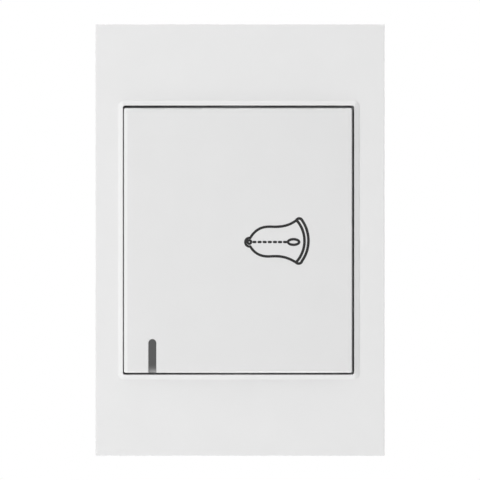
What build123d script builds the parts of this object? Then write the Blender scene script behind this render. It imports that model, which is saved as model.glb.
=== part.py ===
from build123d import *

import os
from math import radians, sin, sqrt

# Doorbell push button: a wall plate with one large key, hinged at its left side.
# Sizes are in millimetres. X runs right and Z runs up, as seen from the room.
# Heights are counted from the wall into the room, along -Y.
# A height below zero lies inside the wall box.

# Cover plate
plate_width = 80.3
plate_height = 120.0
plate_depth = 10.0
plate_skin = 2.2
plate_wall = 2.0
plate_edge_radius = 0.2
window_shift = -0.41
window_corner_radius = 0.6
rim_width = 1.3
rim_step = 0.15
rim_height = 0.5
rim_land = 0.15
rim_corner_radius = 1.5
skirt_clearance = 0.3
skirt_notch_width = 11.0
skirt_notch_height = 3.5
plate_rib_width = 1.2
plate_rib_depth = 2.6
plate_rib_offset = 11.0
side_rib_offset = 16.0
pry_notch_width = 10.0
pry_notch_length = 2.5
pry_notch_depth = 1.4

# Push key
key_width = 63.4
key_height = 73.4
hinge_side_gap = 0.24
free_side_gap = 0.62
top_gap = 0.78
bottom_gap = 0.57
key_proud = 0.6
key_crown = 0.35
key_skin = 2.0
key_wall = 1.6
hinge_edge_radius = 1.3
free_edge_radius = 0.35
end_edge_radius = 0.45
key_press_angle = 2.8
stop_clearance = 0.15
key_rib_width = 1.0
key_rib_depth = 1.1
key_rib_offset = 12.0
key_rib_margin = 1.0
key_rib_end = 8.6
pusher_radius = 0.8
pusher_width = 8.0
push_clearance = 0.1

# Hinge of the key
hinge_inset = 4.4
hinge_height = 4.6
hinge_spacing = 48.0
hinge_pin_radius = 1.2
hinge_clearance = 0.05
hinge_side_clearance = 0.2
bearing_length = 4.0
bearing_wall = 1.4
bearing_mouth = 1.9
bearing_lip = 0.9
lug_thickness = 1.6
lug_radius = 2.0

# Catches at the free side of the key
catch_wall_distance = 1.1
catch_arm_thickness = 1.3
catch_width = 7.0
catch_spacing = 36.0
catch_barb_reach = 1.0
catch_barb_height = 1.2
catch_arm_end = 0.3
catch_ledge_height = 4.8
catch_ledge_thickness = 1.0
catch_post_thickness = 1.5
catch_post_leg = 1.6
catch_clearance = 0.2
catch_slot_clearance = 0.4

# Smoked light guide at the lower left of the key
lens_width = 2.12
lens_inset = 7.98
lens_length = 9.32
lens_depth = 3.4
lens_roll_radius = 3.0
lens_roll_length = 2.2
lens_clearance = 0.05
guide_thickness = 1.1
guide_width = 2.8
guide_pad_radius = 2.2
guide_root_length = 6.0

# Support frame
frame_thickness = 2.0
frame_margin = 1.0
frame_corner_radius = 3.0
frame_rib_width = 1.2
frame_rib_height = 1.4
frame_rib_offset = 8.0
frame_rib_margin = 2.0
frame_rib_gap = 0.5
core_hole_clearance = 0.4
wall_screw_spacing = 83.5
wall_screw_hole_radius = 2.1
wall_screw_pad = 9.0
wall_screw_pad_height = 0.6
opening_clearance = 0.2

# Clips between the cover plate and the frame
clip_offset = 20.0
clip_inset = 8.0
clip_width = 6.0
tower_thickness = 2.0
tooth_pitch = 1.2
tooth_depth = 0.5
first_tooth_height = 1.2
tower_cap = 0.3
tower_clearance = 0.6
clip_leg_thickness = 1.4
clip_leg_clearance = 0.6
clip_clearance = 0.15
barb_seat = 0.05
barb_slope = 1.0

# Mechanism housing
housing_width = 39.6
housing_height = 45.6
housing_corner_radius = 1.2
housing_wall = 1.8
housing_floor = 2.0
housing_edge_chamfer = 0.8
housing_groove_width = 1.4
housing_groove_depth = 0.5
housing_groove_margin = 3.0
housing_groove_pitch = 7.0
housing_groove_count = 5
barrier_width = 1.2
barrier_height = 1.0
strip_gauge_width = 1.6
strip_gauge_length = 9.0
strip_gauge_depth = 0.6
strip_gauge_inset = 6.0
flange_width = 2.2
flange_thickness = 1.5
lug_offset = 13.0
lug_width = 6.0
lug_reach = 1.0
lug_slope = 3.0
lug_seat = 0.05
corner_post = 5.0

# Lid of the housing
lid_thickness = 1.8
lid_clearance = 0.15
collar_wall = 1.6
collar_proud = 0.7
collar_reach = 1.0
lid_screw_radius = 1.1
lid_screw_clearance = 0.05
lid_screw_length = 7.0
lid_screw_head_radius = 2.1
lid_screw_head_depth = 1.1
lid_screw_slot = 0.5
lid_screw_slot_depth = 0.5

# Plunger and its contact bridge
plunger_x = 8.0
plunger_width = 5.4
plunger_clearance = 0.05
plunger_head_width = 8.4
plunger_head_thickness = 1.5
plunger_head_chamfer = 0.4
plunger_flange_width = 8.4
plunger_flange_thickness = 1.4
plunger_seat = 0.1
plunger_spigot_width = 3.2
plunger_spigot_length = 3.2
bridge_width = 5.0
bridge_reach = 2.5
bridge_corner_radius = 2.0
bridge_thickness = 0.5
bridge_clearance = 0.05
retainer_radius = 3.8
retainer_thickness = 0.6
tip_radius = 1.5
tip_height = 0.8
contact_spacing = 18.0
contact_clearance = 0.07

# Return spring
spring_radius = 2.9
spring_wire_radius = 0.3
spring_turns = 3.5
spring_wire_sides = 6
spring_seat = 0.05
spring_post_height = 5.5
spring_post_wall = 1.2
spring_post_pin_radius = 2.0
spring_post_pin_height = 1.5

# Fixed contacts and terminals
strip_width = 5.0
strip_thickness = 0.8
strip_peg_radius = 1.0
strip_peg_clearance = 0.05
strip_peg_height = 0.5
pedestal_margin = 0.4
block_post_clearance = 1.0
block_width = 8.0
block_length = 9.0
block_height = 9.4
block_wall_distance = 0.5
wire_hole = 4.6
wire_hole_wall = 1.0
wire_depth = 6.5
wire_entry_clearance = 0.4
wire_entry_chamfer = 0.6
wire_collar_wall = 1.4
wire_collar_height = 1.0
fence_wall = 1.2
fence_clearance = 0.1
fence_height = 6.0
clamp_screw_radius = 1.5
clamp_screw_clearance = 0.03
clamp_screw_head_radius = 2.7
clamp_screw_head_height = 1.8
clamp_screw_slot = 0.8
clamp_screw_slot_depth = 0.8
clamp_screw_seat = 0.1
clamp_access_clearance = 0.4

# Indicator lamp
lamp_inset = 4.0
lamp_shift = 0.8
led_length = 5.0
led_width = 2.0
led_flange = 0.4
led_flange_height = 1.0
led_height = 3.4
led_top_chamfer = 0.3
led_lead_width = 0.5
led_lead_spacing = 2.54
led_lead_tail = 0.5
led_slot_clearance = 0.15
board_width = 12.0
board_length = 9.0
board_thickness = 1.0
board_margin = 0.5
board_post_clearance = 0.7
resistor_length = 3.2
resistor_width = 1.6
resistor_height = 0.6
diode_length = 4.3
diode_width = 2.6
diode_height = 2.0
part_spacing = 3.2
lamp_strip_width = 1.5
lamp_strip_thickness = 0.4
lamp_strip_overlap = 1.5

# Places that follow from the sizes above
plate_under = plate_depth - plate_skin
rim_face = plate_depth + rim_height
skirt_end = frame_thickness + skirt_clearance
window_width = key_width + hinge_side_gap + free_side_gap
window_height = key_height + top_gap + bottom_gap
rim_outer_width = window_width + 2 * rim_width
rim_outer_height = window_height + 2 * rim_width

key_edge = rim_face + key_proud
key_face = key_edge + key_crown
key_under = key_edge - key_skin
key_x = window_shift + (hinge_side_gap - free_side_gap) / 2
key_z = (bottom_gap - top_gap) / 2
key_left = key_x - key_width / 2
key_right = key_x + key_width / 2
key_low = key_z - key_height / 2
hinge_x = key_left + hinge_inset
press = radians(key_press_angle)
key_foot = frame_thickness + (key_right - hinge_x) * sin(press) + stop_clearance

frame_width = plate_width - 2 * (plate_wall + frame_margin)
frame_height = plate_height - 2 * (plate_wall + frame_margin)
flange_face = frame_thickness + flange_thickness
lid_face = flange_face
lid_under = lid_face - lid_thickness

plunger_travel = (plunger_x - hinge_x) * press
collar_face = lid_face + collar_proud
collar_under = lid_under - collar_reach
plunger_head_under = collar_face + plunger_travel + stop_clearance
plunger_top = plunger_head_under + plunger_head_thickness
pusher_end = plunger_top + push_clearance
plunger_flange_top = collar_under - plunger_seat
bridge_top = plunger_flange_top - plunger_flange_thickness
bridge_under = bridge_top - bridge_thickness
retainer_under = bridge_under - retainer_thickness
bridge_tip_end = bridge_under - tip_height
fixed_tip_top = bridge_tip_end - plunger_travel - contact_clearance
strip_top = fixed_tip_top - tip_height
strip_under = strip_top - strip_thickness
floor_height = strip_under - block_height
housing_back = floor_height - housing_floor
spring_base = floor_height + spring_post_height
contact_z = contact_spacing / 2

cavity_width = housing_width - 2 * housing_wall
cavity_height = housing_height - 2 * housing_wall
post_x = (cavity_width - corner_post) / 2
post_z = (cavity_height - corner_post) / 2
terminal_x = -cavity_width / 2 + corner_post + block_post_clearance + block_width / 2
block_outer = cavity_height / 2 - block_wall_distance
block_inner = block_outer - block_length
wire_z = block_inner + wire_hole_wall + wire_hole / 2
wire_height = floor_height + wire_depth / 2
strip_end = terminal_x - block_width / 2
strip_z = (block_inner + block_outer) / 2

crown_radius = (key_width ** 2 / 4 + key_crown ** 2) / (2 * key_crown)
lens_x = key_left + lens_inset
lens_face = key_face - crown_radius + sqrt(crown_radius ** 2 - (lens_x - key_x) ** 2)
lens_back = lens_face - lens_depth
board_x = -cavity_width / 2 + board_margin + board_width / 2
board_z = -cavity_height / 2 + corner_post + board_post_clearance + board_length / 2
lamp_x = -cavity_width / 2 + lamp_inset
lamp_z = board_z + lamp_shift
board_under = lid_under - board_thickness
lamp_strip_x = board_x + board_width / 2 - lamp_strip_width
strip_inner_edge = strip_z - strip_width / 2
lamp_strip_z = strip_inner_edge + lamp_strip_overlap

front = Plane.XZ


def at(height):
    """Sketch plane parallel to the wall, with X right, Z up and its normal into the room."""
    return front.offset(height)


def side(x):
    """Sketch plane across the device at x, with Y and Z as its axes."""
    return Plane.YZ.offset(x)


def level(z):
    """Sketch plane seen from above at z, with X and Y as its axes."""
    return Plane.XY.offset(z)


with BuildPart() as cover_plate:
    # Plate with a hollow back and a softened front edge
    with BuildSketch(at(0)):
        Rectangle(plate_width, plate_height)
    extrude(amount=plate_depth)
    fillet(cover_plate.faces().sort_by(Axis.Y)[0].edges(), plate_edge_radius)
    with BuildSketch(at(0)):
        Rectangle(plate_width - 2 * plate_wall, plate_height - 2 * plate_wall)
    extrude(amount=plate_under, mode=Mode.SUBTRACT)
    # Ribs from the window wall to the plate's own wall
    for sign in (-1, 1):
        for x in (-plate_rib_offset, plate_rib_offset):
            rib_length = (plate_height - rim_outer_height) / 2
            with BuildSketch(at(plate_under - plate_rib_depth)):
                with Locations((x, sign * (plate_height - rib_length) / 2)):
                    Rectangle(plate_rib_width, rib_length - plate_wall)
            extrude(amount=plate_rib_depth + plate_skin / 2)
        for z in (-side_rib_offset, side_rib_offset):
            rib_length = (plate_width - rim_outer_width) / 2 - sign * window_shift
            with BuildSketch(at(plate_under - plate_rib_depth)):
                with Locations((sign * (plate_width - rib_length) / 2, z)):
                    Rectangle(rib_length - plate_wall / 2, plate_rib_width)
            extrude(amount=plate_rib_depth + plate_skin / 2)
    # Raised rim: a low step, carried back as the wall of the window, and a slope up to its edge
    with BuildSketch(at(skirt_end)):
        with Locations((window_shift, 0)):
            RectangleRounded(rim_outer_width, rim_outer_height, rim_corner_radius)
    extrude(amount=rim_face - skirt_end)
    rim_top = cover_plate.faces().sort_by(Axis.Y)[0]
    chamfer(rim_top.edges(), rim_width - rim_land, rim_height - rim_step, reference=rim_top)
    with BuildSketch(at(0)):
        with Locations((window_shift, 0)):
            RectangleRounded(window_width, window_height, window_corner_radius)
    extrude(amount=rim_face, mode=Mode.SUBTRACT)
    # Notches in that wall, clear of the heads of the wall screws
    with BuildSketch(at(skirt_end)):
        Rectangle(skirt_notch_width, rim_outer_height)
    extrude(amount=skirt_notch_height, mode=Mode.SUBTRACT)
    # Snap legs, each with one barb that sits under a tooth of its tower
    clip_z = plate_height / 2 - plate_wall - clip_inset
    leg_in = clip_z + tooth_depth + clip_clearance
    leg_out = leg_in + clip_leg_thickness
    leg_end = frame_thickness + clip_leg_clearance
    barb_top = frame_thickness + first_tooth_height + tooth_pitch - barb_seat
    barb_tip = leg_in - tooth_depth
    for x in (-clip_offset, clip_offset):
        for sign in (-1, 1):
            with BuildSketch(side(x)):
                with BuildLine():
                    Polyline(
                        (-plate_under - plate_skin / 2, sign * leg_in),
                        (-barb_top, sign * leg_in),
                        (-barb_top, sign * barb_tip),
                        (-barb_top + barb_slope, sign * leg_in),
                        (-leg_end, sign * leg_in),
                        (-leg_end, sign * leg_out),
                        (-plate_under - plate_skin / 2, sign * leg_out),
                        close=True,
                    )
                make_face()
            extrude(amount=clip_width / 2, both=True)
    # Notch in the lower edge for levering the plate off
    with BuildSketch(at(0)):
        with Locations((0, -plate_height / 2)):
            Rectangle(pry_notch_width, 2 * pry_notch_length)
    extrude(amount=pry_notch_depth, mode=Mode.SUBTRACT)

with BuildPart() as push_key:
    # Key with a slightly crowned face, rolled over widely at the hinge and softly elsewhere
    with BuildSketch(level(key_low)) as key_profile:
        with BuildLine():
            crown = ThreePointArc((key_left, -key_edge), (key_x, -key_face), (key_right, -key_edge))
            Polyline(crown @ 1, (key_right, -key_foot), (key_left, -key_foot), crown @ 0)
        make_face()
        fillet(key_profile.vertices().sort_by(Axis.X)[:2].sort_by(Axis.Y)[0], hinge_edge_radius)
        fillet(key_profile.vertices().sort_by(Axis.X)[-2:].sort_by(Axis.Y)[0], free_edge_radius)
    extrude(amount=key_height)
    ends = push_key.faces().sort_by(Axis.Z)
    end_edges = ends[0].edges() + ends[-1].edges()
    fillet(end_edges.sort_by(Axis.Y)[:-2], end_edge_radius)
    # Hollow back
    with BuildSketch(at(key_foot)):
        with Locations((key_x, key_z)):
            Rectangle(key_width - 2 * key_wall, key_height - 2 * key_wall)
    extrude(amount=key_under - key_foot, mode=Mode.SUBTRACT)
    # Stiffening ribs under the face, between the light guide and the catches
    rib_left = lamp_x + guide_pad_radius + key_rib_margin
    rib_right = key_right - key_rib_end
    for z in (-key_rib_offset, key_rib_offset):
        with BuildSketch(at(key_under - key_rib_depth)):
            with Locations(((rib_left + rib_right) / 2, z)):
                Rectangle(rib_right - rib_left, key_rib_width)
        extrude(amount=key_rib_depth + key_skin / 2)
    # Rounded nose that pushes the plunger
    pusher_height = key_under + key_skin / 2 - pusher_end - pusher_radius
    with BuildSketch(level(0)):
        with Locations((plunger_x, -pusher_end - pusher_radius)):
            Circle(pusher_radius)
        with Locations((plunger_x, -pusher_end - pusher_radius - pusher_height / 2)):
            Rectangle(2 * pusher_radius, pusher_height)
    extrude(amount=pusher_width / 2, both=True)
    # Hinge pins, each held between two lugs
    for z in (-hinge_spacing / 2, hinge_spacing / 2):
        lug_distance = bearing_length / 2 + hinge_side_clearance + lug_thickness / 2
        for lug_z in (z - lug_distance, z + lug_distance):
            lug_height = key_under + key_skin / 2 - hinge_height
            with BuildSketch(level(lug_z)):
                with Locations((hinge_x, -hinge_height)):
                    Circle(lug_radius)
                with Locations((hinge_x, -hinge_height - lug_height / 2)):
                    Rectangle(2 * lug_radius, lug_height)
            extrude(amount=lug_thickness / 2, both=True)
        with BuildSketch(level(z)):
            with Locations((hinge_x, -hinge_height)):
                Circle(hinge_pin_radius)
        extrude(amount=lug_distance, both=True)
    # Catch hooks at the free side
    catch_arm_out = key_right - key_wall - catch_wall_distance
    catch_arm_in = catch_arm_out - catch_arm_thickness
    catch_tip = catch_arm_in - catch_barb_reach
    catch_barb_top = catch_ledge_height - stop_clearance
    catch_barb_under = catch_barb_top - catch_barb_height
    catch_foot = catch_barb_under - catch_arm_end
    for z in (-catch_spacing / 2, catch_spacing / 2):
        with BuildSketch(level(z)):
            with BuildLine():
                Polyline(
                    (catch_arm_out, -key_under - key_skin / 2),
                    (catch_arm_in, -key_under - key_skin / 2),
                    (catch_arm_in, -catch_barb_top),
                    (catch_tip, -catch_barb_top),
                    (catch_arm_in, -catch_barb_under),
                    (catch_arm_in, -catch_foot),
                    (catch_arm_out, -catch_foot),
                    close=True,
                )
            make_face()
        extrude(amount=catch_width / 2, both=True)
    # Slot for the light guide, open at the lower edge
    slot_width = lens_width + 2 * lens_clearance
    with BuildSketch(at(lens_back - lens_clearance)):
        with Locations((lens_x, key_low + lens_length - lens_width / 2)):
            Circle(slot_width / 2)
        with Locations((lens_x, key_low + (lens_length - lens_width / 2) / 2)):
            Rectangle(slot_width, lens_length - lens_width / 2)
    extrude(amount=key_face - lens_back + lens_clearance, mode=Mode.SUBTRACT)

with BuildPart() as indicator_light_guide:
    # Window bar with a round upper end, level with the key's face
    lens_overhang = lens_roll_radius - lens_roll_length
    bar_length = lens_length - lens_width / 2 + lens_overhang
    with BuildSketch(at(lens_back)):
        with Locations((lens_x, key_low + lens_length - lens_width / 2)):
            Circle(lens_width / 2)
        with Locations((lens_x, key_low - lens_overhang + bar_length / 2)):
            Rectangle(lens_width, bar_length)
    extrude(amount=lens_depth)
    # Lower end rolled over towards the wall and cut off at the key's edge
    low_face = indicator_light_guide.faces().sort_by(Axis.Z)[0]
    fillet(low_face.edges().sort_by(Axis.Y)[0], lens_roll_radius)
    with BuildSketch(at(lens_back)):
        with Locations((lens_x, key_low - lens_overhang / 2)):
            Rectangle(lens_width, lens_overhang)
    extrude(amount=lens_depth, mode=Mode.SUBTRACT)
    # Root and arm behind the key's face, ending in a pad over the lamp
    root_z = key_low + lens_length - lens_width / 2 - guide_root_length / 2
    with BuildSketch(at(key_under - guide_thickness)):
        with BuildLine() as arm_line:
            Line((lens_x, root_z), (lamp_x, lamp_z))
        SlotCenterPoint(arm_line.line @ 0.5, arm_line.line @ 1, guide_width)
        with Locations((lamp_x, lamp_z)):
            Circle(guide_pad_radius)
        with Locations((lens_x, root_z)):
            Rectangle(guide_width, guide_root_length)
    extrude(amount=guide_thickness)

with BuildPart() as support_frame:
    # Flat frame with an opening for the housing
    with BuildSketch(at(0)):
        RectangleRounded(frame_width, frame_height, frame_corner_radius)
        RectangleRounded(
            housing_width + 2 * opening_clearance,
            housing_height + 2 * opening_clearance,
            housing_corner_radius,
            mode=Mode.SUBTRACT,
        )
    extrude(amount=frame_thickness)
    # Ribs and screw pads at both ends
    rib_start = rim_outer_height / 2 + frame_rib_gap
    rib_length = frame_height / 2 - frame_rib_margin - rib_start
    for sign in (-1, 1):
        with BuildSketch(at(frame_thickness / 2)):
            with Locations((0, sign * (rib_start + rib_length / 2))):
                with GridLocations(2 * frame_rib_offset, 0, 2, 1):
                    Rectangle(frame_rib_width, rib_length)
        extrude(amount=frame_thickness / 2 + frame_rib_height)
        with BuildSketch(at(frame_thickness / 2)):
            with Locations((0, sign * wall_screw_spacing / 2)):
                Rectangle(wall_screw_pad, wall_screw_pad)
        extrude(amount=frame_thickness / 2 + wall_screw_pad_height)
        with BuildSketch(at(0)):
            with Locations((0, sign * wall_screw_spacing / 2)):
                Circle(wall_screw_hole_radius)
        extrude(amount=frame_thickness + wall_screw_pad_height, mode=Mode.SUBTRACT)
    # Toothed towers for the plate's snap legs
    tower_room = plate_under - tower_clearance - frame_thickness
    tooth_count = int((tower_room - first_tooth_height - tower_cap) / tooth_pitch)
    tower_top = first_tooth_height + tooth_count * tooth_pitch + tower_cap
    for x in (-clip_offset, clip_offset):
        for sign in (-1, 1):
            with BuildSketch(side(x)):
                with BuildLine():
                    outline = [(-frame_thickness / 2, clip_z - tower_thickness)]
                    outline.append((-frame_thickness / 2, clip_z))
                    for tooth in range(tooth_count):
                        tooth_height = frame_thickness + first_tooth_height + tooth * tooth_pitch
                        outline.append((-tooth_height, clip_z))
                        outline.append((-tooth_height, clip_z + tooth_depth))
                    outline.append((-frame_thickness - tower_top + tower_cap, clip_z))
                    outline.append((-frame_thickness - tower_top, clip_z))
                    outline.append((-frame_thickness - tower_top, clip_z - tower_thickness))
                    Polyline(*[(y, sign * z) for y, z in outline], close=True)
                make_face()
            extrude(amount=clip_width / 2, both=True)
            # Hole below the teeth, where the mould's core drew out
            core_length = leg_out - clip_z + core_hole_clearance
            with BuildSketch(at(0)):
                with Locations((x, sign * (clip_z + core_length / 2))):
                    Rectangle(clip_width + 2 * core_hole_clearance, core_length)
            extrude(amount=frame_thickness, mode=Mode.SUBTRACT)
    # Bearings for the hinge pins, open to the front so that the pins snap in
    bearing_radius = hinge_pin_radius + hinge_clearance
    bearing_width = 2 * (bearing_radius + bearing_wall)
    bearing_height = hinge_height + bearing_lip - frame_thickness / 2
    for z in (-hinge_spacing / 2, hinge_spacing / 2):
        with BuildSketch(level(z)):
            with Locations((hinge_x, -frame_thickness / 2 - bearing_height / 2)):
                Rectangle(bearing_width, bearing_height)
            with Locations((hinge_x, -hinge_height)):
                Circle(bearing_radius, mode=Mode.SUBTRACT)
            with Locations((hinge_x, -hinge_height - bearing_radius)):
                Rectangle(bearing_mouth, 2 * bearing_radius, mode=Mode.SUBTRACT)
        extrude(amount=bearing_length / 2, both=True)
    # Bridges that hold the key's catches, over slots for the hooks
    post_width = catch_width + 2 * (catch_clearance + catch_post_leg)
    post_x_mid = catch_arm_in - catch_clearance - catch_post_thickness / 2
    slot_left = catch_tip - catch_slot_clearance
    slot_right = catch_arm_out + catch_slot_clearance
    for z in (-catch_spacing / 2, catch_spacing / 2):
        with BuildSketch(at(frame_thickness / 2)):
            with Locations((post_x_mid, z)):
                Rectangle(catch_post_thickness, post_width)
        extrude(amount=catch_ledge_height + catch_ledge_thickness - frame_thickness / 2)
        with BuildSketch(at(0)):
            with Locations((post_x_mid, z)):
                Rectangle(catch_post_thickness, catch_width + 2 * catch_clearance)
        extrude(amount=catch_ledge_height, mode=Mode.SUBTRACT)
        with BuildSketch(at(0)):
            with Locations(((slot_left + slot_right) / 2, z)):
                Rectangle(slot_right - slot_left, catch_width + 2 * catch_clearance)
        extrude(amount=frame_thickness, mode=Mode.SUBTRACT)

with BuildPart() as mechanism_base:
    # Housing with a flange in front of the frame
    with BuildSketch(at(housing_back)):
        RectangleRounded(housing_width, housing_height, housing_corner_radius)
    extrude(amount=flange_face - housing_back)
    chamfer(mechanism_base.faces().sort_by(Axis.Y)[-1].edges(), housing_edge_chamfer)
    with BuildSketch(at(frame_thickness)):
        RectangleRounded(
            housing_width + 2 * flange_width,
            housing_height + 2 * flange_width,
            housing_corner_radius,
        )
    extrude(amount=flange_thickness)
    with BuildSketch(at(floor_height)):
        Rectangle(cavity_width, cavity_height)
    extrude(amount=flange_face - floor_height, mode=Mode.SUBTRACT)
    # Corner posts that carry the lid, two of them bored for its screws
    with BuildSketch(at(floor_height)):
        with GridLocations(2 * post_x, 2 * post_z, 2, 2):
            Rectangle(corner_post, corner_post)
    extrude(amount=lid_under - floor_height)
    with BuildSketch(at(lid_under)):
        with Locations((-post_x, post_z), (post_x, -post_z)):
            Circle(lid_screw_radius + lid_screw_clearance)
    extrude(amount=-lid_screw_length, mode=Mode.SUBTRACT)
    # Square post with a round pin for the return spring
    spring_post = 2 * (spring_radius + spring_wire_radius + spring_post_wall)
    with BuildSketch(at(floor_height)):
        with Locations((plunger_x, 0)):
            Rectangle(spring_post, spring_post)
    extrude(amount=spring_post_height)
    with BuildSketch(at(spring_base)):
        with Locations((plunger_x, 0)):
            Circle(spring_post_pin_radius)
    extrude(amount=spring_post_pin_height)
    for sign in (-1, 1):
        # Pedestal and peg under each fixed contact
        pedestal_in = contact_z - strip_width / 2
        pedestal_out = strip_z + strip_width / 2
        with BuildSketch(at(floor_height)):
            with Locations((plunger_x, sign * (pedestal_in + pedestal_out) / 2)):
                Rectangle(strip_width + 2 * pedestal_margin, pedestal_out - pedestal_in)
        extrude(amount=strip_under - floor_height)
        with BuildSketch(at(strip_under)):
            with Locations((plunger_x, sign * strip_z)):
                Circle(strip_peg_radius)
        extrude(amount=strip_thickness + strip_peg_height)
        # Fence round each terminal block
        fence_in = block_inner - fence_clearance - fence_wall
        with BuildSketch(at(floor_height)):
            with Locations((terminal_x, sign * (fence_in + cavity_height / 2) / 2)):
                Rectangle(block_width + 2 * (fence_clearance + fence_wall), cavity_height / 2 - fence_in)
            with Locations((terminal_x, sign * (fence_in + fence_wall + cavity_height / 2) / 2)):
                Rectangle(
                    block_width + 2 * fence_clearance,
                    cavity_height / 2 - fence_in - fence_wall,
                    mode=Mode.SUBTRACT,
                )
        extrude(amount=fence_height)
        # Wire entry in the back, with a low collar and widened outwards
        collar_size = wire_hole + wire_entry_clearance + 2 * (wire_entry_chamfer + wire_collar_wall)
        with BuildSketch(at(housing_back)):
            with Locations((terminal_x, sign * wire_z)):
                Rectangle(collar_size, collar_size)
        extrude(amount=-wire_collar_height)
        with BuildSketch(at(floor_height)):
            with Locations((terminal_x, sign * wire_z)):
                Rectangle(wire_hole + wire_entry_clearance, wire_hole + wire_entry_clearance)
        extrude(amount=-housing_floor - wire_collar_height, mode=Mode.SUBTRACT)
        # Hole in the side for turning the clamp screw
        with BuildSketch(level(sign * cavity_height / 2)):
            with Locations((terminal_x, -wire_height)):
                Circle(clamp_screw_head_radius + clamp_access_clearance)
        extrude(amount=sign * housing_wall, mode=Mode.SUBTRACT)
        # Snap lugs behind the frame
        for x in (-lug_offset, lug_offset):
            with BuildSketch(side(x)):
                with BuildLine():
                    Polyline(
                        (lug_seat, sign * (housing_height / 2 - housing_wall / 2)),
                        (lug_seat, sign * (housing_height / 2 + lug_reach)),
                        (lug_seat + lug_slope, sign * (housing_height / 2)),
                        (lug_seat + lug_slope, sign * (housing_height / 2 - housing_wall / 2)),
                        close=True,
                    )
                make_face()
            extrude(amount=lug_width / 2, both=True)
    for collar in mechanism_base.faces().sort_by(Axis.Y)[-2:]:
        chamfer(collar.inner_wires().edges(), wire_entry_chamfer)
    # Barrier between the wire entries, and the groove that shows how far to strip a wire
    with BuildSketch(at(housing_back)):
        with Locations((terminal_x, 0)):
            Rectangle(collar_size, barrier_width)
    extrude(amount=-barrier_height)
    with BuildSketch(at(housing_back)):
        with Locations((housing_width / 2 - strip_gauge_inset, 0)):
            Rectangle(strip_gauge_width, strip_gauge_length)
    extrude(amount=strip_gauge_depth, mode=Mode.SUBTRACT)
    # Grooves down the two sides
    groove_length = -housing_back - 2 * housing_groove_margin
    for sign in (-1, 1):
        with BuildSketch(side(sign * housing_width / 2)):
            with Locations((-housing_back / 2, 0)):
                with GridLocations(0, housing_groove_pitch, 1, housing_groove_count):
                    Rectangle(groove_length, housing_groove_width)
        extrude(amount=-sign * housing_groove_depth, mode=Mode.SUBTRACT)

with BuildPart() as mechanism_cover:
    with BuildSketch(at(lid_under)):
        Rectangle(cavity_width - 2 * lid_clearance, cavity_height - 2 * lid_clearance)
    extrude(amount=lid_thickness)
    # Square guide collar, in which the plunger can't turn
    collar_width = plunger_width + 2 * (plunger_clearance + collar_wall)
    with BuildSketch(at(collar_under)):
        with Locations((plunger_x, 0)):
            Rectangle(collar_width, collar_width)
    extrude(amount=collar_face - collar_under)
    with BuildSketch(at(collar_under)):
        with Locations((plunger_x, 0)):
            Rectangle(plunger_width + 2 * plunger_clearance, plunger_width + 2 * plunger_clearance)
    extrude(amount=collar_face - collar_under, mode=Mode.SUBTRACT)
    # Slot for the lamp's leads
    with BuildSketch(at(lid_under)):
        with Locations((lamp_x, lamp_z)):
            Rectangle(
                led_lead_spacing + led_lead_width + 2 * led_slot_clearance,
                led_lead_width + 2 * led_slot_clearance,
            )
    extrude(amount=lid_thickness, mode=Mode.SUBTRACT)
    # Counterbored screw holes
    with BuildSketch(at(lid_under)):
        with Locations((-post_x, post_z), (post_x, -post_z)):
            Circle(lid_screw_radius + lid_screw_clearance)
    extrude(amount=lid_thickness, mode=Mode.SUBTRACT)
    with BuildSketch(at(lid_face)):
        with Locations((-post_x, post_z), (post_x, -post_z)):
            Circle(lid_screw_head_radius + lid_screw_clearance)
    extrude(amount=-lid_screw_head_depth, mode=Mode.SUBTRACT)

with BuildPart() as cover_screws:
    for x, z in ((-post_x, post_z), (post_x, -post_z)):
        with BuildSketch(at(lid_face)):
            with Locations((x, z)):
                Circle(lid_screw_head_radius)
        extrude(amount=-lid_screw_head_depth)
        with BuildSketch(at(lid_face - lid_screw_head_depth)):
            with Locations((x, z)):
                Circle(lid_screw_radius)
        extrude(amount=-(lid_screw_length - lid_screw_slot))
        with BuildSketch(at(lid_face)):
            with Locations((x, z)):
                Rectangle(2 * lid_screw_head_radius, lid_screw_slot)
        extrude(amount=-lid_screw_slot_depth, mode=Mode.SUBTRACT)

with BuildPart() as plunger:
    with BuildSketch(at(plunger_head_under)):
        with Locations((plunger_x, 0)):
            Rectangle(plunger_head_width, plunger_head_width)
    extrude(amount=plunger_head_thickness)
    chamfer(plunger.faces().sort_by(Axis.Y)[0].edges(), plunger_head_chamfer)
    with BuildSketch(at(plunger_flange_top)):
        with Locations((plunger_x, 0)):
            Rectangle(plunger_width, plunger_width)
    extrude(amount=plunger_head_under - plunger_flange_top)
    with BuildSketch(at(bridge_top)):
        with Locations((plunger_x, 0)):
            Rectangle(plunger_flange_width, plunger_flange_width)
    extrude(amount=plunger_flange_thickness)
    with BuildSketch(at(bridge_top)):
        with Locations((plunger_x, 0)):
            Rectangle(plunger_spigot_width, plunger_spigot_width)
    extrude(amount=-plunger_spigot_length)

with BuildPart() as contact_bridge:
    spigot_hole = plunger_spigot_width + 2 * bridge_clearance
    with BuildSketch(at(bridge_under)):
        with Locations((plunger_x, 0)):
            RectangleRounded(bridge_width, contact_spacing + 2 * bridge_reach, bridge_corner_radius)
            Rectangle(spigot_hole, spigot_hole, mode=Mode.SUBTRACT)
    extrude(amount=bridge_thickness)

with BuildPart() as bridge_tips:
    with BuildSketch(at(bridge_under)):
        with Locations((plunger_x, -contact_z), (plunger_x, contact_z)):
            Circle(tip_radius)
    extrude(amount=-tip_height)

with BuildPart() as bridge_retainer:
    with BuildSketch(at(retainer_under)):
        with Locations((plunger_x, 0)):
            Circle(retainer_radius)
            Rectangle(spigot_hole, spigot_hole, mode=Mode.SUBTRACT)
    extrude(amount=retainer_thickness)

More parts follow.
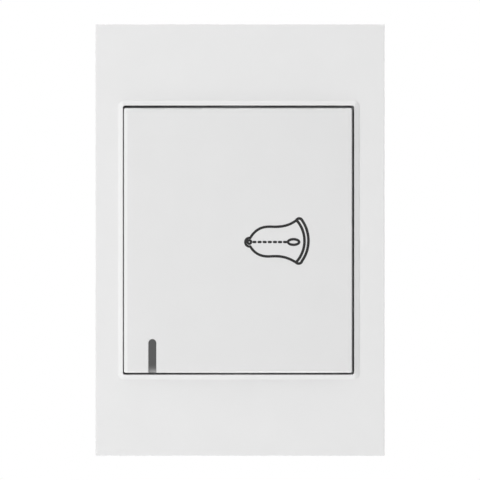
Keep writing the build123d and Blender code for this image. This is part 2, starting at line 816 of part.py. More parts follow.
with BuildPart() as return_spring:
    # Coil between the retainer and the post, from its fixed end at the post
    spring_low = spring_base + spring_wire_radius + spring_seat
    spring_high = retainer_under - spring_wire_radius - spring_seat
    with BuildLine() as coil:
        Helix(
            pitch=(spring_high - spring_low) / spring_turns,
            height=spring_high - spring_low,
            radius=spring_radius,
            center=(plunger_x, -spring_low, 0),
            direction=(0, -1, 0),
        )
    with BuildSketch(Plane(origin=coil.line @ 0, z_dir=coil.line % 0)):
        RegularPolygon(spring_wire_radius, spring_wire_sides)
    sweep(path=coil.line, is_frenet=True)

# Stamped strips from each fixed contact to its terminal
fixed_contacts = []
strip_right = plunger_x + strip_width / 2
for sign in (1, -1):
    with BuildPart() as fixed_contact:
        with BuildSketch(at(strip_under)):
            with Locations(((strip_end + strip_right) / 2, sign * strip_z)):
                Rectangle(strip_right - strip_end, strip_width)
            with Locations((plunger_x, sign * (strip_z + contact_z) / 2)):
                Rectangle(strip_width, strip_z - contact_z + strip_width)
            with Locations((plunger_x, sign * strip_z)):
                Circle(strip_peg_radius + strip_peg_clearance, mode=Mode.SUBTRACT)
        extrude(amount=strip_thickness)
    fixed_contacts.append(fixed_contact)
fixed_contact_upper, fixed_contact_lower = fixed_contacts

with BuildPart() as fixed_contact_tips:
    with BuildSketch(at(strip_top)):
        with Locations((plunger_x, -contact_z), (plunger_x, contact_z)):
            Circle(tip_radius)
    extrude(amount=tip_height)

# Brass blocks, each with a square wire hole from the back and a screw hole from its outer side
terminal_blocks = []
for sign in (1, -1):
    with BuildPart() as terminal_block:
        with BuildSketch(at(floor_height)):
            with Locations((terminal_x, sign * (block_inner + block_outer) / 2)):
                Rectangle(block_width, block_length)
        extrude(amount=block_height)
        with BuildSketch(at(floor_height)):
            with Locations((terminal_x, sign * wire_z)):
                Rectangle(wire_hole, wire_hole)
        extrude(amount=wire_depth, mode=Mode.SUBTRACT)
        with BuildSketch(level(sign * block_outer)):
            with Locations((terminal_x, -wire_height)):
                Circle(clamp_screw_radius + clamp_screw_clearance)
        extrude(amount=-sign * (block_outer - wire_z), mode=Mode.SUBTRACT)
    terminal_blocks.append(terminal_block)
terminal_block_upper, terminal_block_lower = terminal_blocks

with BuildPart() as terminal_screws:
    for sign in (-1, 1):
        head_start = block_outer + clamp_screw_seat
        screw_tip = wire_z + wire_hole / 2
        with BuildSketch(level(sign * screw_tip)):
            with Locations((terminal_x, -wire_height)):
                Circle(clamp_screw_radius)
        extrude(amount=sign * (head_start - screw_tip))
        with BuildSketch(level(sign * head_start)):
            with Locations((terminal_x, -wire_height)):
                Circle(clamp_screw_head_radius)
        extrude(amount=sign * clamp_screw_head_height)
        with BuildSketch(level(sign * (head_start + clamp_screw_head_height))):
            with Locations((terminal_x, -wire_height)):
                Rectangle(2 * clamp_screw_head_radius, clamp_screw_slot)
        extrude(amount=-sign * clamp_screw_slot_depth, mode=Mode.SUBTRACT)

with BuildPart() as indicator_led:
    with BuildSketch(at(lid_face)):
        with Locations((lamp_x, lamp_z)):
            Rectangle(led_length, led_width)
    extrude(amount=led_height)
    chamfer(indicator_led.faces().sort_by(Axis.Y)[0].edges(), led_top_chamfer)
    with BuildSketch(at(lid_face)):
        with Locations((lamp_x, lamp_z)):
            Rectangle(led_length + 2 * led_flange, led_width + 2 * led_flange)
    extrude(amount=led_flange_height)
    with BuildSketch(at(lid_face)):
        with Locations((lamp_x, lamp_z)):
            with GridLocations(led_lead_spacing, 0, 2, 1):
                Rectangle(led_lead_width, led_lead_width)
    extrude(amount=board_under - led_lead_tail - lid_face)

with BuildPart() as indicator_board:
    with BuildSketch(at(board_under)):
        with Locations((board_x, board_z)):
            Rectangle(board_width, board_length)
        with Locations((lamp_x, lamp_z)):
            with GridLocations(led_lead_spacing, 0, 2, 1):
                Rectangle(
                    led_lead_width + 2 * led_slot_clearance,
                    led_lead_width + 2 * led_slot_clearance,
                    mode=Mode.SUBTRACT,
                )
    extrude(amount=board_thickness)

with BuildPart() as indicator_resistor:
    with BuildSketch(at(board_under)):
        with Locations((board_x - resistor_length / 2, lamp_z + part_spacing)):
            Rectangle(resistor_length, resistor_width)
    extrude(amount=-resistor_height)

with BuildPart() as indicator_diode:
    with BuildSketch(at(board_under)):
        with Locations((board_x - diode_length / 2, lamp_z - part_spacing)):
            Rectangle(diode_length, diode_width)
    extrude(amount=-diode_height)

with BuildPart() as lamp_contact_upper:
    # Flat strip along the board, then a leg down to the upper fixed contact
    lamp_strip_start = board_z
    with BuildSketch(at(board_under)):
        with Locations((lamp_strip_x, (lamp_strip_start + lamp_strip_z) / 2)):
            Rectangle(lamp_strip_width, lamp_strip_z - lamp_strip_start)
    extrude(amount=-lamp_strip_thickness)
    with BuildSketch(at(strip_top)):
        with Locations((lamp_strip_x, lamp_strip_z - lamp_strip_thickness / 2)):
            Rectangle(lamp_strip_width, lamp_strip_thickness)
    extrude(amount=board_under - strip_top)

with BuildPart() as lamp_contact_lower:
    # Leg from the board down to the lower fixed contact
    with BuildSketch(at(board_under)):
        with Locations((lamp_strip_x, -lamp_strip_z + lamp_strip_overlap)):
            Rectangle(lamp_strip_width, 2 * lamp_strip_overlap)
    extrude(amount=-lamp_strip_thickness)
    with BuildSketch(at(strip_top)):
        with Locations((lamp_strip_x, -lamp_strip_z + lamp_strip_thickness / 2)):
            Rectangle(lamp_strip_width, lamp_strip_thickness)
    extrude(amount=board_under - strip_top)

pieces = {
    "cover_plate": cover_plate,
    "push_key": push_key,
    "indicator_light_guide": indicator_light_guide,
    "support_frame": support_frame,
    "mechanism_base": mechanism_base,
    "mechanism_cover": mechanism_cover,
    "cover_screws": cover_screws,
    "plunger": plunger,
    "contact_bridge": contact_bridge,
    "bridge_tips": bridge_tips,
    "bridge_retainer": bridge_retainer,
    "return_spring": return_spring,
    "fixed_contact_upper": fixed_contact_upper,
    "fixed_contact_lower": fixed_contact_lower,
    "fixed_contact_tips": fixed_contact_tips,
    "terminal_block_upper": terminal_block_upper,
    "terminal_block_lower": terminal_block_lower,
    "terminal_screws": terminal_screws,
    "indicator_led": indicator_led,
    "indicator_board": indicator_board,
    "indicator_resistor": indicator_resistor,
    "indicator_diode": indicator_diode,
    "lamp_contact_upper": lamp_contact_upper,
    "lamp_contact_lower": lamp_contact_lower,
}

os.makedirs("parts", exist_ok=True)
for name, piece in pieces.items():
    piece.part.label = name
    export_step(piece.part, f"parts/{name}.step")
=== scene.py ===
import math

import bmesh
import bpy
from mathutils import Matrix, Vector
from mathutils.geometry import interpolate_bezier


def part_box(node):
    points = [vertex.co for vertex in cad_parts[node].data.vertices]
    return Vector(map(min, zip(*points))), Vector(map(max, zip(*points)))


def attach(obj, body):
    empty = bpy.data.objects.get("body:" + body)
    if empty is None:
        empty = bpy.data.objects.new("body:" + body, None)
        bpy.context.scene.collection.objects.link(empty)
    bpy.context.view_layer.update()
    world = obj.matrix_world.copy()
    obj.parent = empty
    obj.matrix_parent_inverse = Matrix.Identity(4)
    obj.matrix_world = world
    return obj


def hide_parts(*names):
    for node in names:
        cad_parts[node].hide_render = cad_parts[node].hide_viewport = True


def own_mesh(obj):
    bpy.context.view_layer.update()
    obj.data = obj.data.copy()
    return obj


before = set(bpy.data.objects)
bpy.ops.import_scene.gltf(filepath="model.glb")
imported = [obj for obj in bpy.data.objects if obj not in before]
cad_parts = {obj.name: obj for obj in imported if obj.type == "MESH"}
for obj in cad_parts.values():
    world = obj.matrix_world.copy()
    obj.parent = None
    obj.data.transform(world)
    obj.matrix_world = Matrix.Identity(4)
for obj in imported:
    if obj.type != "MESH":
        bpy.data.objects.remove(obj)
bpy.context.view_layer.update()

# Looks of the doorbell push button: its finishes, printed bell sign, coil spring, light and camera.
# X runs right, Y runs into the wall and Z runs up.
# Lengths are in metres, unless a comment names millimetres.

MM = 0.001

# Camera, square to the plate's face and a hair above its middle, with sensor and lens in millimetres
PHOTO_PIXELS = 480
PHOTO_PIXELS_PER_METRE = 3600
CAMERA_SENSOR = 36.0
CAMERA_LENS = 200.0
CAMERA_RAISE = 0.03 * MM
PLATE_FACE = -10 * MM

# Floor, which fades into the white surroundings between two distances from the part
FLOOR_LEVEL = -0.98
FLOOR_SIZE = 4.0
FLOOR_FADE = (0.3, 1.5)
FLOOR_COLOUR = (0.75, 0.75, 0.75)
FLOOR_COLOUR_DRIFT = 0.01
FLOOR_COLOUR_PATCH = 0.2
FLOOR_ROUGHNESS = 0.8

# Strength of the surroundings as a light
WORLD_LIGHT = 0.385
# Each lamp: where it stands as seen from the room, its angle from straight in front in degrees,
# its distance, its size, its power in watts and whether it shows in reflections
LAMPS = {
    "lamp_front": ((0, 0), 0, 2.0, 0.2, 4.0, False),
    "lamp_left": ((-1, 0), 50, 1.3, 0.87, 9.6, False),
    "lamp_top": ((0, 1), 82, 0.9, 0.6, 5.4, False),
    "lamp_bottom": ((0, -1), 82, 0.9, 0.6, 4.4, False),
    "lamp_back": ((0.95, 0.1), 145, 2.0, 1.2, 26.0, True),
}

# Noise: its detail, that of a grain, the values between which most of a noise lies,
# and the stretch of one that is alike in X, Y and Z
NOISE_DETAIL = 3.0
GRAIN_DETAIL = 2.0
NOISE_MIDDLE = (0.3, 0.7)
EVEN = (1, 1, 1)

# Plastics: colour, roughness, and size and depth of the grain in millimetres
PLASTICS = {
    "plate_white": ((0.775, 0.775, 0.775), 0.48, 0.25, 0.004),
    # The key's white is a little darker than the plate's: painted shade of the key's face
    "key_white_with_painted_shade": ((0.741, 0.741, 0.741), 0.46, 0.25, 0.004),
    "frame_grey": ((0.60, 0.61, 0.62), 0.52, 0.35, 0.006),
    "housing_charcoal": ((0.055, 0.057, 0.06), 0.5, 0.35, 0.006),
    "lid_grey": ((0.55, 0.55, 0.53), 0.5, 0.35, 0.006),
    "plunger_ivory": ((0.70, 0.67, 0.58), 0.4, 0.3, 0.003),
    "lamp_amber": ((0.80, 0.42, 0.10), 0.2, 0.4, 0.001),
    "board_green": ((0.03, 0.16, 0.07), 0.35, 0.3, 0.004),
    "component_black": ((0.025, 0.025, 0.027), 0.4, 0.2, 0.004),
}
PLASTIC_COLOUR_DRIFT = 0.008
PLASTIC_COLOUR_PATCH = 12 * MM
PLASTIC_GLOSS_DRIFT = 0.04
PLASTIC_GLOSS_PATCH = 6 * MM
PLASTIC_IOR = 1.5

# Metals: colour, roughness, size and depth of the marks in millimetres,
# and how much finer the marks are in X, Y and Z
METALS = {
    "brass": ((0.78, 0.57, 0.25), 0.3, 0.15, 0.004, (1, 8, 1)),
    "bronze": ((0.72, 0.47, 0.30), 0.3, 0.12, 0.003, (8, 1, 1)),
    "contact_silver": ((0.80, 0.79, 0.76), 0.25, 0.1, 0.002, EVEN),
    "plated_steel": ((0.60, 0.61, 0.61), 0.28, 0.12, 0.003, EVEN),
}
METAL_COLOUR_DRIFT = 0.05
METAL_COLOUR_PATCH = 2 * MM
METAL_GLOSS_DRIFT = (-0.06, 0.08)
METAL_GLOSS_PATCH = 1.5 * MM

# Smoked window, whose tint lightens towards its rounded lower end: partly as the piece thins out there,
# partly as a painted highlight of light caught from below
SMOKED_TINT = (0.063, 0.063, 0.063, 1)
SMOKED_THIN_END_AND_HIGHLIGHT_TINT = (0.31, 0.31, 0.31, 1)
SMOKED_FADE = 2.4 * MM
SMOKED_FADE_POWER = 2.0
SMOKED_GRAIN_SIZE = 0.8 * MM
SMOKED_GRAIN_DEPTH = 0.002 * MM
SMOKED_ROUGHNESS = 0.38
SMOKED_IOR = 1.58

# Ink of the sign
INK_COLOUR = (0.012, 0.012, 0.012)
INK_COLOUR_DRIFT = 0.12
INK_COLOUR_PATCH = 0.6 * MM
INK_GRAIN_SIZE = 0.12 * MM
INK_GRAIN_DEPTH = 0.002 * MM
INK_ROUGHNESS = 0.6
INK_IOR = 1.5

# The solids that each finish goes on
DRESSED = {
    "plate_white": ["cover_plate"],
    "key_white_with_painted_shade": ["push_key"],
    "smoked_window": ["indicator_light_guide"],
    "frame_grey": ["support_frame"],
    "housing_charcoal": ["mechanism_base"],
    "lid_grey": ["mechanism_cover"],
    "plunger_ivory": ["plunger"],
    "brass": ["terminal_block_upper", "terminal_block_lower"],
    "bronze": [
        "contact_bridge",
        "fixed_contact_upper",
        "fixed_contact_lower",
        "lamp_contact_upper",
        "lamp_contact_lower",
    ],
    "contact_silver": ["bridge_tips", "fixed_contact_tips"],
    "plated_steel": ["cover_screws", "terminal_screws", "bridge_retainer", "return_spring"],
    "lamp_amber": ["indicator_led"],
    "board_green": ["indicator_board"],
    "component_black": ["indicator_resistor", "indicator_diode"],
}

# Bell sign: line widths, and centre lines on the key's face as X and Z, in millimetres
SIGN_LINE = 0.70
SIGN_LIP_LINE = 0.74
SIGN_RING_LINE = 0.66
CROWN_ARC = ((2.85, 0.63), (1.45, -0.57), (2.85, -1.77))
UPPER_OUTLINE = (
    ((2.85, 0.63), (4.15, 2.78), (5.80, 3.73), (8.20, 3.73)),
    ((8.20, 3.73), (8.70, 3.73), (9.10, 3.69), (9.60, 3.69)),
    ((9.60, 3.69), (12.20, 3.67), (13.95, 4.24), (15.60, 5.47)),
)
LOWER_OUTLINE = (
    ((2.85, -1.77), (3.90, -3.47), (5.35, -4.53), (7.90, -4.53)),
    ((7.90, -4.53), (8.60, -4.53), (8.90, -4.47), (9.60, -4.47)),
    ((9.60, -4.47), (12.10, -4.43), (13.80, -5.09), (15.60, -6.24)),
)
LIP_INNER_ARC = ((15.76, 5.43), (17.88, -0.11), (15.66, -6.02))
LIP_OUTER_ARCS = (
    ((15.60, 5.47), (16.45, 6.00), (17.17, 5.55)),
    ((17.17, 5.55), (18.97, -0.11), (17.18, -5.82)),
    ((17.18, -5.82), (16.45, -6.49), (15.60, -6.24)),
)
RING_CENTRE = (2.59, -0.53)
RING_AXES = (0.48, 0.48)
CLAPPER_CENTRE = (14.85, -0.53)
CLAPPER_AXES = (1.54, 0.77)
DASH_COUNT = 7
DASH_START = 3.74
DASH_PITCH = 1.42
DASH_LENGTH = 0.52
# Steps along each curve of the sign and round each end of a line
SIGN_STEPS = 24
CAP_STEPS = 10
# How far the print stands out of the key's face and reaches into it
SIGN_PROUD = 0.03 * MM
SIGN_SUNK = 0.02 * MM
# Where the rays that find the key's face start, well in front of it
RAY_START = -1

# Coil spring: its wire, turns, steps in a turn and sides round the wire
SPRING_WIRE_RADIUS = 0.3 * MM
SPRING_TURNS = 3.5
SPRING_STEPS = 40
SPRING_SIDES = 14


def material(name):
    """New material with its node tree, and the tree's shader."""
    made = bpy.data.materials.new(name)
    made.use_nodes = True
    tree = made.node_tree
    return made, tree, tree.nodes["Principled BSDF"]


def noise(tree, size, detail=NOISE_DETAIL, stretch=EVEN):
    """Noise whose lumps are about size across, in the piece's own frame."""
    place = tree.nodes.new("ShaderNodeTexCoord")
    scale = tree.nodes.new("ShaderNodeMapping")
    scale.inputs["Scale"].default_value = stretch
    texture = tree.nodes.new("ShaderNodeTexNoise")
    texture.inputs["Scale"].default_value = 1 / size
    texture.inputs["Detail"].default_value = detail
    tree.links.new(place.outputs["Object"], scale.inputs["Vector"])
    tree.links.new(scale.outputs["Vector"], texture.inputs["Vector"])
    return texture.outputs["Fac"]


def map_range(tree, value, source, target):
    """Node that maps a value from one range to another and stops at its ends."""
    ramp = tree.nodes.new("ShaderNodeMapRange")
    names = ("From Min", "From Max", "To Min", "To Max")
    for name, number in zip(names, (*source, *target)):
        ramp.inputs[name].default_value = number
    tree.links.new(value, ramp.inputs["Value"])
    return ramp


def drift(tree, size, low, high):
    """Value that drifts from low to high over patches of that size."""
    return map_range(tree, noise(tree, size), NOISE_MIDDLE, (low, high)).outputs["Result"]


def mix_colours(tree, factor, first, second):
    """Colour between two, by a factor."""
    mix = tree.nodes.new("ShaderNodeMix")
    mix.data_type = "RGBA"
    mix.inputs["A"].default_value = first
    mix.inputs["B"].default_value = second
    tree.links.new(factor, mix.inputs["Factor"])
    return mix.outputs["Result"]


def uneven_colour(tree, shader, colour, amount, size):
    """Colour that drifts by a small amount over patches of that size."""
    darker = [part * (1 - amount) for part in colour]
    lighter = [min(part * (1 + amount), 1) for part in colour]
    mixed = mix_colours(tree, drift(tree, size, 0, 1), (*darker, 1), (*lighter, 1))
    tree.links.new(mixed, shader.inputs["Base Color"])


def grain(tree, shader, size, depth, stretch=EVEN):
    """Fine surface relief."""
    bump = tree.nodes.new("ShaderNodeBump")
    bump.inputs["Distance"].default_value = depth
    tree.links.new(noise(tree, size, GRAIN_DETAIL, stretch), bump.inputs["Height"])
    tree.links.new(bump.outputs["Normal"], shader.inputs["Normal"])


def plastic(name, colour, roughness, grain_size, grain_depth):
    """Moulded plastic with an eroded grain and a faint drift of colour and gloss."""
    made, tree, shader = material(name)
    uneven_colour(tree, shader, colour, PLASTIC_COLOUR_DRIFT, PLASTIC_COLOUR_PATCH)
    grain(tree, shader, grain_size * MM, grain_depth * MM)
    smoothest, roughest = roughness - PLASTIC_GLOSS_DRIFT, roughness + PLASTIC_GLOSS_DRIFT
    gloss = drift(tree, PLASTIC_GLOSS_PATCH, smoothest, roughest)
    tree.links.new(gloss, shader.inputs["Roughness"])
    shader.inputs["IOR"].default_value = PLASTIC_IOR
    return made


def metal(name, colour, roughness, grain_size, grain_depth, stretch):
    """Rolled, drawn or plated metal with fine marks along its working direction."""
    made, tree, shader = material(name)
    uneven_colour(tree, shader, colour, METAL_COLOUR_DRIFT, METAL_COLOUR_PATCH)
    grain(tree, shader, grain_size * MM, grain_depth * MM, stretch)
    smoothest, roughest = (roughness + change for change in METAL_GLOSS_DRIFT)
    gloss = drift(tree, METAL_GLOSS_PATCH, smoothest, roughest)
    tree.links.new(gloss, shader.inputs["Roughness"])
    shader.inputs["Metallic"].default_value = 1.0
    return made


def smoked_plastic():
    """Tinted window, whose tint lightens towards its rounded lower end, partly as the piece thins out there
    and partly as a painted highlight.
    """
    made, tree, shader = material("smoked_window")
    place = tree.nodes.new("ShaderNodeTexCoord")
    along = tree.nodes.new("ShaderNodeSeparateXYZ")
    tree.links.new(place.outputs["Object"], along.inputs["Vector"])
    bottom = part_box("indicator_light_guide")[0].z
    # Lighter tint over the last stretch above the lower end: partly thinning, partly painted highlight
    thin_end_and_highlight = map_range(tree, along.outputs["Z"], (bottom + SMOKED_FADE, bottom), (0, 1))
    curve = tree.nodes.new("ShaderNodeMath")
    curve.operation = "POWER"
    tree.links.new(thin_end_and_highlight.outputs["Result"], curve.inputs[0])
    curve.inputs[1].default_value = SMOKED_FADE_POWER
    tint = mix_colours(tree, curve.outputs[0], SMOKED_TINT, SMOKED_THIN_END_AND_HIGHLIGHT_TINT)
    tree.links.new(tint, shader.inputs["Base Color"])
    grain(tree, shader, SMOKED_GRAIN_SIZE, SMOKED_GRAIN_DEPTH)
    shader.inputs["Roughness"].default_value = SMOKED_ROUGHNESS
    shader.inputs["IOR"].default_value = SMOKED_IOR
    return made


def sign_ink():
    """Matt black pad print."""
    made, tree, shader = material("sign_ink")
    uneven_colour(tree, shader, INK_COLOUR, INK_COLOUR_DRIFT, INK_COLOUR_PATCH)
    grain(tree, shader, INK_GRAIN_SIZE, INK_GRAIN_DEPTH)
    shader.inputs["Roughness"].default_value = INK_ROUGHNESS
    shader.inputs["IOR"].default_value = INK_IOR
    return made


def make_finishes():
    """The finishes of the solids, by name."""
    made = {name: plastic(name, *values) for name, values in PLASTICS.items()}
    made.update({name: metal(name, *values) for name, values in METALS.items()})
    made["smoked_window"] = smoked_plastic()
    return made


def dress_nodes(finishes):
    """Gives every solid its finish."""
    for finish, names in DRESSED.items():
        for name in names:
            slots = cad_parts[name].data.materials
            slots.clear()
            slots.append(finishes[finish])


def mesh_object(name, mesh):
    """Object with what a bmesh holds, not yet in the scene. The bmesh is freed."""
    bmesh.ops.recalc_face_normals(mesh, faces=mesh.faces)
    made = bpy.data.meshes.new(name)
    mesh.to_mesh(made)
    mesh.free()
    return bpy.data.objects.new(name, made)


def arc(start, middle, end):
    """Points on the circle through three points, from the first to the last."""
    a, b, c = (Vector(point) for point in (start, middle, end))
    ab, ac = b - a, c - a
    cross = 2 * (ab.x * ac.y - ab.y * ac.x)
    towards = Vector((ac.y * ab.dot(ab) - ab.y * ac.dot(ac), ab.x * ac.dot(ac) - ac.x * ab.dot(ab)))
    centre = a + towards / cross
    first, last = ((point - centre) for point in (a, c))
    radius = first.length
    begin = math.atan2(first.y, first.x)
    turn = math.atan2(last.y, last.x) - begin
    direction = 1 if cross > 0 else -1
    turn = direction * ((direction * turn) % math.tau)
    steps = [begin + turn * i / SIGN_STEPS for i in range(SIGN_STEPS + 1)]
    return [centre + radius * Vector((math.cos(angle), math.sin(angle))) for angle in steps]


def chain(runs):
    """Joins runs of points that meet end to end."""
    points = list(runs[0])
    for run in runs[1:]:
        points.extend(run[1:])
    return points


def outline(segments):
    """Points along Bezier segments that meet end to end."""
    runs = [interpolate_bezier(*[Vector(point) for point in segment], SIGN_STEPS) for segment in segments]
    return chain(runs)


def ellipse(centre, axes, grow):
    """Closed ring of points at a set distance from an ellipse, outside it or, where negative, inside."""
    points = []
    for i in range(2 * SIGN_STEPS):
        turn = math.pi * i / SIGN_STEPS
        place = Vector((axes[0] * math.cos(turn), axes[1] * math.sin(turn)))
        outward = Vector((axes[1] * math.cos(turn), axes[0] * math.sin(turn))).normalized()
        points.append(Vector(centre) + place + grow * outward)
    return points


def line_edge(points, width):
    """Closed edge of a drawn line of that width, with round ends."""
    sides = []
    for i, point in enumerate(points):
        along = points[min(i + 1, len(points) - 1)] - points[max(i - 1, 0)]
        along.normalize()
        sides.append((point, Vector((-along.y, along.x)) * width / 2))
    left = [point + across for point, across in sides]
    right = [point - across for point, across in reversed(sides)]
    caps = []
    for (point, across), sign in ((sides[-1], 1), (sides[0], -1)):
        start = math.atan2(sign * across.y, sign * across.x)
        turns = [start - math.pi * i / CAP_STEPS for i in range(1, CAP_STEPS)]
        caps.append([point + width / 2 * Vector((math.cos(t), math.sin(t))) for t in turns])
    return left + caps[0] + right + caps[1]


def slab(name, loops):
    """Flat solid between an outer loop and an optional inner one, in millimetres, from Y -1 to Y 1."""
    mesh = bmesh.new()
    rings = []
    for loop in loops:
        for side in (-1, 1):
            rings.append([mesh.verts.new((point.x, side, point.y)) for point in loop])
    count = len(rings[0])
    bands = [(rings[0], rings[1])]
    if len(loops) == 1:
        mesh.faces.new(rings[0])
        mesh.faces.new(rings[1])
    else:
        bands += [(rings[1], rings[3]), (rings[3], rings[2]), (rings[2], rings[0])]
    for near, far in bands:
        for i in range(count):
            after = (i + 1) % count
            mesh.faces.new((near[i], near[after], far[after], far[i]))
    return mesh_object(name, mesh)


def sign_solids():
    """Flat solids of the bell pictogram, lying on its side: crown, body, lip, clapper and its dashed rod."""
    lines = [
        (arc(*CROWN_ARC), SIGN_RING_LINE),
        (outline(UPPER_OUTLINE), SIGN_LINE),
        (outline(LOWER_OUTLINE), SIGN_LINE),
        (arc(*LIP_INNER_ARC), SIGN_LIP_LINE),
        (chain([arc(*points) for points in LIP_OUTER_ARCS]), SIGN_LIP_LINE),
    ]
    for i in range(DASH_COUNT):
        start = Vector((DASH_START + i * DASH_PITCH, RING_CENTRE[1]))
        lines.append(([start, start + Vector((DASH_LENGTH, 0))], SIGN_RING_LINE))
    solids = [slab("sign_line", [line_edge(points, width)]) for points, width in lines]
    rings = [(RING_CENTRE, RING_AXES, SIGN_RING_LINE), (CLAPPER_CENTRE, CLAPPER_AXES, SIGN_LINE)]
    for centre, axes, width in rings:
        loops = [ellipse(centre, axes, width / 2), ellipse(centre, axes, -width / 2)]
        solids.append(slab("sign_loop", loops))
    return solids


def union(solids):
    """One mesh from solids that overlap, which are used up."""
    first, *others = solids
    group = bpy.data.collections.new("sign_parts")
    bpy.context.scene.collection.children.link(group)
    for solid in others:
        group.objects.link(solid)
    bpy.context.scene.collection.objects.link(first)
    join = first.modifiers.new("join", "BOOLEAN")
    join.operation = "UNION"
    join.operand_type = "COLLECTION"
    join.collection = group
    join.solver = "EXACT"
    shaped = first.evaluated_get(bpy.context.evaluated_depsgraph_get())
    joined = bpy.data.meshes.new_from_object(shaped)
    for solid in solids:
        bpy.data.objects.remove(solid)
    bpy.data.collections.remove(group)
    return joined


def on_key(x, z):
    """Point of the key's crowned face at that place."""
    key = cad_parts["push_key"]
    return key.ray_cast(Vector((x, RAY_START, z)), Vector((0, 1, 0)))[1]


def bell_sign(ink):
    """Bell pictogram as one print, joined while it is flat and then laid on the key's face."""
    joined = union(sign_solids())
    for vertex in joined.vertices:
        x, side, z = vertex.co
        spot = on_key(x * MM, z * MM)
        spot.y += SIGN_SUNK if side > 0 else -SIGN_PROUD
        vertex.co = spot
    joined.materials.clear()
    joined.materials.append(ink)
    sign = bpy.data.objects.new("bell_sign", joined)
    bpy.context.scene.collection.objects.link(sign)
    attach(sign, "key")


def coil(middle, radius, start, end):
    """Round-wire coil about a line along Y, which winds from one height in Y to another."""
    steps = int(SPRING_TURNS * SPRING_STEPS)
    mesh = bmesh.new()
    rings = []
    for i in range(steps + 1):
        angle = math.tau * SPRING_TURNS * i / steps
        outward = Vector((math.cos(angle), 0, math.sin(angle)))
        height = start + (end - start) * i / steps
        centre = Vector((middle.x, height, middle.z)) + radius * outward
        ring = []
        for k in range(SPRING_SIDES):
            turn = math.tau * k / SPRING_SIDES
            around = math.cos(turn) * outward + math.sin(turn) * Vector((0, 1, 0))
            ring.append(mesh.verts.new(centre + SPRING_WIRE_RADIUS * around))
        rings.append(ring)
    for near, far in zip(rings, rings[1:]):
        for k in range(SPRING_SIDES):
            after = (k + 1) % SPRING_SIDES
            mesh.faces.new((near[k], near[after], far[after], far[k])).smooth = True
    mesh.faces.new(rings[0])
    mesh.faces.new(rings[-1])
    return mesh_object("coil_spring", mesh)


def coil_spring(steel):
    """Round-wire coil in the place of the plain one, held on the base."""
    low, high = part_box("return_spring")
    middle = (low + high) / 2
    radius = (high.z - low.z) / 2 - SPRING_WIRE_RADIUS
    spring = coil(middle, radius, high.y - SPRING_WIRE_RADIUS, low.y + SPRING_WIRE_RADIUS)
    spring.data.materials.append(steel)
    bpy.context.scene.collection.objects.link(spring)
    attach(spring, "base")
    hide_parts("return_spring")
    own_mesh(spring)


def seen_directly(tree):
    """One for what is seen by the camera, in a reflection or through glass, else zero."""
    path = tree.nodes.new("ShaderNodeLightPath")
    shown = path.outputs["Is Camera Ray"]
    for kind in ("Is Glossy Ray", "Is Transmission Ray"):
        either = tree.nodes.new("ShaderNodeMath")
        either.operation = "MAXIMUM"
        tree.links.new(shown, either.inputs[0])
        tree.links.new(path.outputs[kind], either.inputs[1])
        shown = either.outputs[0]
    return shown


def pale_floor():
    """Finish of the floor, which fades to plain white away from the part."""
    made, tree, shader = material("floor_pale")
    uneven_colour(tree, shader, FLOOR_COLOUR, FLOOR_COLOUR_DRIFT, FLOOR_COLOUR_PATCH)
    shader.inputs["Roughness"].default_value = FLOOR_ROUGHNESS
    place = tree.nodes.new("ShaderNodeTexCoord")
    away = tree.nodes.new("ShaderNodeVectorMath")
    away.operation = "LENGTH"
    tree.links.new(place.outputs["Object"], away.inputs[0])
    fade = map_range(tree, away.outputs["Value"], FLOOR_FADE, (0, 1))
    fade.interpolation_type = "SMOOTHSTEP"
    share = tree.nodes.new("ShaderNodeMath")
    share.operation = "MULTIPLY"
    tree.links.new(fade.outputs["Result"], share.inputs[0])
    tree.links.new(seen_directly(tree), share.inputs[1])
    white = tree.nodes.new("ShaderNodeEmission")
    mix = tree.nodes.new("ShaderNodeMixShader")
    tree.links.new(share.outputs[0], mix.inputs["Fac"])
    tree.links.new(shader.outputs["BSDF"], mix.inputs[1])
    tree.links.new(white.outputs["Emission"], mix.inputs[2])
    tree.links.new(mix.outputs["Shader"], tree.nodes["Material Output"].inputs["Surface"])
    return made


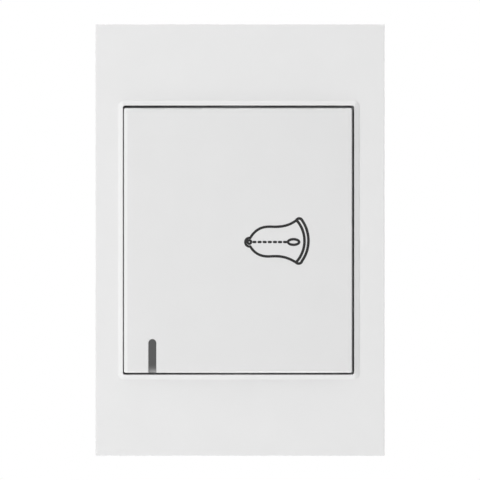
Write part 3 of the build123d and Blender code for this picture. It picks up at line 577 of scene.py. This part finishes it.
def studio_floor():
    """Square floor far below the part."""
    mesh = bpy.data.meshes.new("floor")
    half = FLOOR_SIZE / 2
    corners = [(-half, -half), (half, -half), (half, half), (-half, half)]
    mesh.from_pydata([(x, y, FLOOR_LEVEL) for x, y in corners], [], [(0, 1, 2, 3)])
    mesh.materials.append(pale_floor())
    floor = bpy.data.objects.new("floor", mesh)
    bpy.context.scene.collection.objects.link(floor)


def surroundings():
    """White surroundings, which give less light than they show."""
    world = bpy.data.worlds.new("surroundings")
    bpy.context.scene.world = world
    world.use_nodes = True
    tree = world.node_tree
    strength = map_range(tree, seen_directly(tree), (0, 1), (WORLD_LIGHT, 1))
    background = tree.nodes["Background"]
    background.inputs["Color"].default_value = (1, 1, 1, 1)
    tree.links.new(strength.outputs["Result"], background.inputs["Strength"])


def lamps():
    """Soft lamps in front, at the left, above, below and behind, all turned to the part."""
    for name, ((across, up), angle, distance, size, power, reflected) in LAMPS.items():
        tilt = math.radians(angle)
        data = bpy.data.lights.new(name, "AREA")
        data.shape = "SQUARE"
        data.size = size
        data.energy = power
        lamp = bpy.data.objects.new(name, data)
        reach = distance * math.sin(tilt)
        lamp.location = (across * reach, -distance * math.cos(tilt), up * reach)
        lamp.rotation_euler = (-lamp.location).to_track_quat("-Z", "Y").to_euler()
        lamp.visible_camera = False
        lamp.visible_glossy = reflected
        bpy.context.scene.collection.objects.link(lamp)


def camera():
    """Looks straight at the plate, from where its face fills the frame as in the photograph."""
    data = bpy.data.cameras.new("camera")
    data.sensor_width = CAMERA_SENSOR
    data.lens = CAMERA_LENS
    distance = PHOTO_PIXELS / PHOTO_PIXELS_PER_METRE * CAMERA_LENS / CAMERA_SENSOR
    made = bpy.data.objects.new("camera", data)
    made.location = (0, PLATE_FACE - distance, CAMERA_RAISE)
    made.rotation_euler = (math.pi / 2, 0, 0)
    bpy.context.scene.collection.objects.link(made)
    bpy.context.scene.camera = made


finishes = make_finishes()
dress_nodes(finishes)
bell_sign(sign_ink())
coil_spring(finishes["plated_steel"])
studio_floor()
surroundings()
lamps()
camera()
bpy.context.scene.view_settings.view_transform = "Standard"
